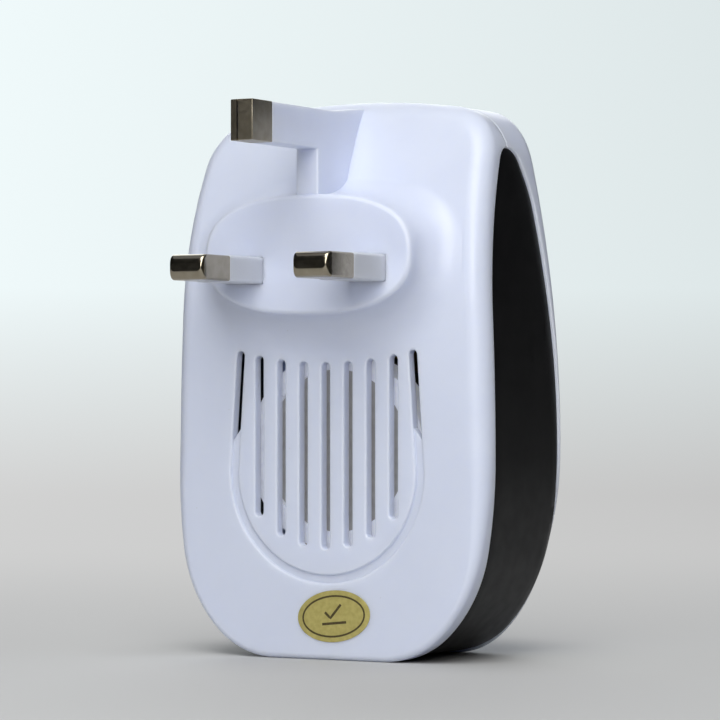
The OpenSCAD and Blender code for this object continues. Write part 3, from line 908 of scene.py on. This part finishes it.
def black_plastic(name="satin_black"):
    look = Look(name, (0.0045, 0.0045, 0.005), 0.4, IOR=1.33,
                Specular_IOR_Level=0.35)
    look.mottle((0.0065, 0.0065, 0.007), 5).specks((0.07, 0.07, 0.07), 3.1, 0.03, 0.6)
    look.polish(0.38, 0.46, 2.5, 2)
    return look.grain(0.25, 0.002, 0.4, 2).material


def pin_metal(name="nickel_plate", shine=(0.15, 0.24)):
    look = Look(name, (0.40, 0.355, 0.275), 0.2, Metallic=1.0)
    look.mottle((0.34, 0.30, 0.225), 1.6, 0.35, 0.7)
    look.polish(*shine, 0.7, 3)
    return look.grain(0.4, 0.0004, 0.4, 2, (1, 0.2, 1)).material


def gold_foil():
    look = Look("gold_foil", (0.56, 0.49, 0.17), 0.4, Metallic=0.35)
    look.mottle((0.48, 0.41, 0.13), 0.8)
    return look.grain(0.25, 0.006, 0.6).material


def printed_ink():
    look = Look("brown_ink", (0.055, 0.04, 0.012), 0.55)
    return look.mottle((0.08, 0.06, 0.02), 0.25).material


def clear_red():
    look = Look("red_window", (0.55, 0.06, 0.05), 0.16, IOR=1.49)
    look.shader.inputs["Transmission Weight"].default_value = 0.35
    return look.mottle((0.45, 0.04, 0.035), 0.8).grain(0.4, 0.004, 0.4).material


def plain(name, colour, roughness=0.45, metallic=0.0, grain_mm=0.3, painted_glow=0.0):
    """A simple moulded, lacquered or metal finish for the pieces inside.
    Its glow strength is painted light: the piece glows in its own colour, standing in for light that reaches it
    inside the body."""
    look = Look(name, colour, roughness, Metallic=metallic)
    # the emission is painted light, a glow in the piece's own colour
    look.shader.inputs["Emission Color"].default_value = (*colour, 1)
    look.shader.inputs["Emission Strength"].default_value = painted_glow
    darker = tuple(c * 0.8 for c in colour)
    look.mottle(darker, grain_mm * 5).polish(roughness * 0.85, min(1, roughness * 1.2), grain_mm * 3)
    return look.grain(grain_mm, 0.006, 0.5).material


def dress_inner_parts():
    """Materials of the CAD nodes that stay."""
    looks = {
        "pin_retainer": plain("inner_white", (0.62, 0.62, 0.6)),
        "retainer_screws": plain("zinc_a", (0.6, 0.61, 0.63), 0.3, 1.0),
        "board_screws": plain("zinc_b", (0.6, 0.61, 0.63), 0.3, 1.0),
        "live_terminal": plain("brass_a", (0.78, 0.6, 0.28), 0.3, 1.0),
        "neutral_terminal": plain("brass_b", (0.78, 0.6, 0.28), 0.3, 1.0),
        "live_lead": plain("brown_wire", (0.16, 0.07, 0.03)),
        "neutral_lead": plain("blue_wire", (0.03, 0.1, 0.4)),
        # the sounder's rim and disc glow with painted light, so they look lit behind the sound slots
        "transducer_rim": plain("sounder_white", (0.8, 0.83, 0.92), 0.4, painted_glow=0.22),
        "transducer_disc": plain("diaphragm", (0.34, 0.335, 0.33), 0.5, painted_glow=0.2),
        "transducer_case": plain("sounder_black", (0.03, 0.03, 0.033)),
        "transducer_leads": plain("red_wire", (0.45, 0.03, 0.02)),
        "circuit_board": plain("phenolic_board", (0.3, 0.18, 0.06), 0.5, 0.0, 0.8),
        "dropper_capacitor": plain("film_capacitor", (0.6, 0.36, 0.04), 0.3),
        "smoothing_capacitor": plain("capacitor_sleeve", (0.02, 0.03, 0.08), 0.3),
        "rectifier_diodes": plain("diode_black", (0.02, 0.02, 0.02), 0.4),
        "fuse_resistor": plain("green_lacquer", (0.08, 0.25, 0.1), 0.4),
        "resistors": plain("tan_lacquer", (0.55, 0.4, 0.2), 0.4),
        "oscillator_chip": plain("chip_black", (0.02, 0.02, 0.022), 0.5),
        "driver_transistors": plain("transistor_black", (0.02, 0.02, 0.02), 0.45),
        "output_coil": plain("enamelled_copper", (0.55, 0.22, 0.08), 0.35, 0.8, 0.2),
        "indicator_led": plain("red_resin", (0.55, 0.03, 0.02), 0.25),
    }
    for node, material in looks.items():
        NODES[node].data.materials.clear()
        NODES[node].data.materials.append(material)


# ---- Studio ----

FLOOR_R = 0.9
SWEEP_R = 0.45
AWAY = (0.4924, -0.8704)   # level direction from the camera past the object
ACROSS = (-0.8704, -0.4924)   # level direction to the camera's right
PAPER_NEAR = (0.50, 0.50, 0.50)
# the far paper's colour is painted shade; the glow colours are painted light, paler higher up
PAPER_PAINTED_SHADE = (0.07, 0.07, 0.072)
GLOW_LOW = (0.64, 0.642, 0.64)
GLOW_HIGH = (0.85, 0.93, 0.94)


def stage_material():
    """Pale paper near the object, painted dark farther out as painted shade for an unlit room; behind the object
    it glows with painted light, paler higher up.
    """
    material = bpy.data.materials.new("pale_paper")
    material.use_nodes = True
    tree = material.node_tree
    shader = tree.nodes["Principled BSDF"]
    shader.inputs["Roughness"].default_value = 0.75

    def made(kind, **settings):
        node = tree.nodes.new(kind)
        for name, value in settings.items():
            setattr(node, name, value)
        return node

    def ranged(source, low, high, first=0.0, last=1.0, kind="SMOOTHSTEP"):
        node = made("ShaderNodeMapRange", interpolation_type=kind)
        for socket, value in (("From Min", low), ("From Max", high), ("To Min", first), ("To Max", last)):
            node.inputs[socket].default_value = value
        tree.links.new(source, node.inputs["Value"])
        return node.outputs["Result"]

    def level(direction):
        node = made("ShaderNodeVectorMath", operation="DOT_PRODUCT")
        node.inputs[1].default_value = (*direction, 0)
        tree.links.new(place, node.inputs[0])
        return node.outputs["Value"]

    def times(first, second):
        node = made("ShaderNodeMath", operation="MULTIPLY")
        tree.links.new(first, node.inputs[0])
        tree.links.new(second, node.inputs[1])
        return node.outputs[0]

    def blend(amount, first, second):
        node = made("ShaderNodeMix", data_type="RGBA")
        node.inputs[6].default_value = (*first, 1)
        node.inputs[7].default_value = (*second, 1)
        tree.links.new(amount, node.inputs[0])
        return node.outputs[2]

    place = made("ShaderNodeTexCoord").outputs["Object"]
    split = made("ShaderNodeSeparateXYZ")
    tree.links.new(place, split.inputs[0])
    flat = made("ShaderNodeVectorMath", operation="MULTIPLY")
    flat.inputs[1].default_value = (1, 1, 0)
    tree.links.new(place, flat.inputs[0])
    reach = made("ShaderNodeVectorMath", operation="LENGTH")
    tree.links.new(flat.outputs[0], reach.inputs[0])
    # the paper darkens farther out: painted shade standing in for an unlit room
    paper = blend(ranged(reach.outputs["Value"], 0.45, 0.9), PAPER_NEAR, PAPER_PAINTED_SHADE)
    tree.links.new(paper, shader.inputs["Base Color"])
    # the glow is painted light on the paper behind the object, a little weaker towards the camera's right and
    # paler higher up
    glow = made("ShaderNodeEmission")
    tree.links.new(ranged(level(ACROSS), -0.2, 0.2, 1.02, 0.86, "LINEAR"), glow.inputs["Strength"])
    tree.links.new(blend(ranged(split.outputs["Z"], 0.0, 0.1, kind="LINEAR"), GLOW_LOW, GLOW_HIGH), glow.inputs["Color"])
    mix = made("ShaderNodeMixShader")
    sides = times(ranged(level(ACROSS), -0.65, -0.4), ranged(level(ACROSS), 0.5, 0.26))
    clear = ranged(reach.outputs["Value"], 0.02, 0.05)
    tree.links.new(times(times(ranged(level(AWAY), -0.3, 0.4), sides), clear), mix.inputs[0])
    tree.links.new(shader.outputs[0], mix.inputs[1])
    tree.links.new(glow.outputs[0], mix.inputs[2])
    tree.links.new(mix.outputs[0], tree.nodes["Material Output"].inputs["Surface"])
    return material


def build_stage():
    """A round floor that curves up all round into a wall."""
    n = 96
    profile = [(r, 0.0) for r in np.linspace(0.1, FLOOR_R, 9)]
    profile += [(FLOOR_R + SWEEP_R * math.sin(a), SWEEP_R * (1 - math.cos(a)))
                for a in np.radians(np.linspace(5, 90, 18))]
    profile.append((FLOOR_R + SWEEP_R, 1.6))
    turns = np.linspace(0, 2 * np.pi, n, endpoint=False)
    rings = [np.column_stack([r * np.cos(turns), r * np.sin(turns), np.full(n, z)]) for r, z in profile]
    faces = [list(range(n))]
    for j in range(len(profile) - 1):
        faces += [[j * n + (k + 1) % n, j * n + k, (j + 1) * n + k, (j + 1) * n + (k + 1) % n]
                  for k in range(n)]
    mesh = bpy.data.meshes.new("studio_floor")
    mesh.from_pydata(np.vstack(rings).tolist(), [], faces)
    for face in mesh.polygons:
        face.use_smooth = True
    mesh.materials.append(stage_material())
    paper = bpy.data.objects.new("studio_floor", mesh)
    bpy.context.scene.collection.objects.link(paper)


def area_light(name, direction, distance, size, power, colour=(1, 1, 1)):
    light = bpy.data.lights.new(name, "AREA")
    light.shape = "RECTANGLE"
    light.size, light.size_y = size
    light.energy = power
    light.color = colour
    lamp = bpy.data.objects.new(name, light)
    way = Vector(direction).normalized()
    lamp.location = Vector((0, 0, 0.045)) + way * distance
    lamp.rotation_euler = (-way).to_track_quat("-Z", "Y").to_euler()
    bpy.context.scene.collection.objects.link(lamp)


def build_lights():
    area_light("key_softbox", (-0.2, 0.52, 0.76), 0.62, (0.4, 0.4), 2.28, (1.0, 1.0, 0.97))
    area_light("front_fill", (-0.42, 0.85, 0.34), 0.5, (0.26, 0.26), 1.12, (1.0, 1.0, 0.99))
    area_light("dome_fill", (0.5, -0.8, 0.45), 0.7, (0.5, 0.5), 0.9, (1.0, 1.0, 1.0))
    world = bpy.data.worlds.new("studio")
    world.use_nodes = True
    world.node_tree.nodes["Background"].inputs["Color"].default_value = (0.83, 0.88, 0.99, 1)
    world.node_tree.nodes["Background"].inputs["Strength"].default_value = 0.35
    bpy.context.scene.world = world


def build_camera():
    azimuth, elevation, distance = 209.5, -0.72, 0.53
    target = Vector((-0.0020, 0.0081, 0.0477))
    a, e = math.radians(azimuth), math.radians(elevation)
    back = Vector((math.sin(a) * math.cos(e), -math.cos(a) * math.cos(e), math.sin(e)))
    data = bpy.data.cameras.new("camera")
    data.lens = 165
    camera = bpy.data.objects.new("camera", data)
    camera.location = target + back * distance
    camera.rotation_mode = "QUATERNION"
    camera.rotation_quaternion = (-back).to_track_quat("-Z", "Y")
    bpy.context.scene.collection.objects.link(camera)
    bpy.context.scene.camera = camera


# ---- Everything ----

bpy.context.scene.view_settings.view_transform = "Standard"
build_camera()
white, black, metal = white_plastic(), black_plastic(), pin_metal()
sleeve_white = white_plastic("sleeve_white")
build_rear_shell(white)
build_front_shell(white)
build_band(black)
for side in ("live", "neutral"):
    finish_piece(smooth_shaded(blade(f"{side}_blade", f"{side}_pin", f"{side}_pin_sleeve")),
                 "pin_metal", metal, f"{side}_pin")
    finish_piece(smooth_shaded(sleeve(f"{side}_insulation", f"{side}_pin_sleeve")),
                 "white_sleeve", sleeve_white, f"{side}_pin_sleeve")
finish_piece(smooth_shaded(earth_cap()), "pin_metal", pin_metal("cap_plate", (0.34, 0.44)),
             "earth_pin_cap")
build_sticker(gold_foil(), printed_ink())
build_lens(clear_red())
dress_inner_parts()
build_stage()
build_lights()
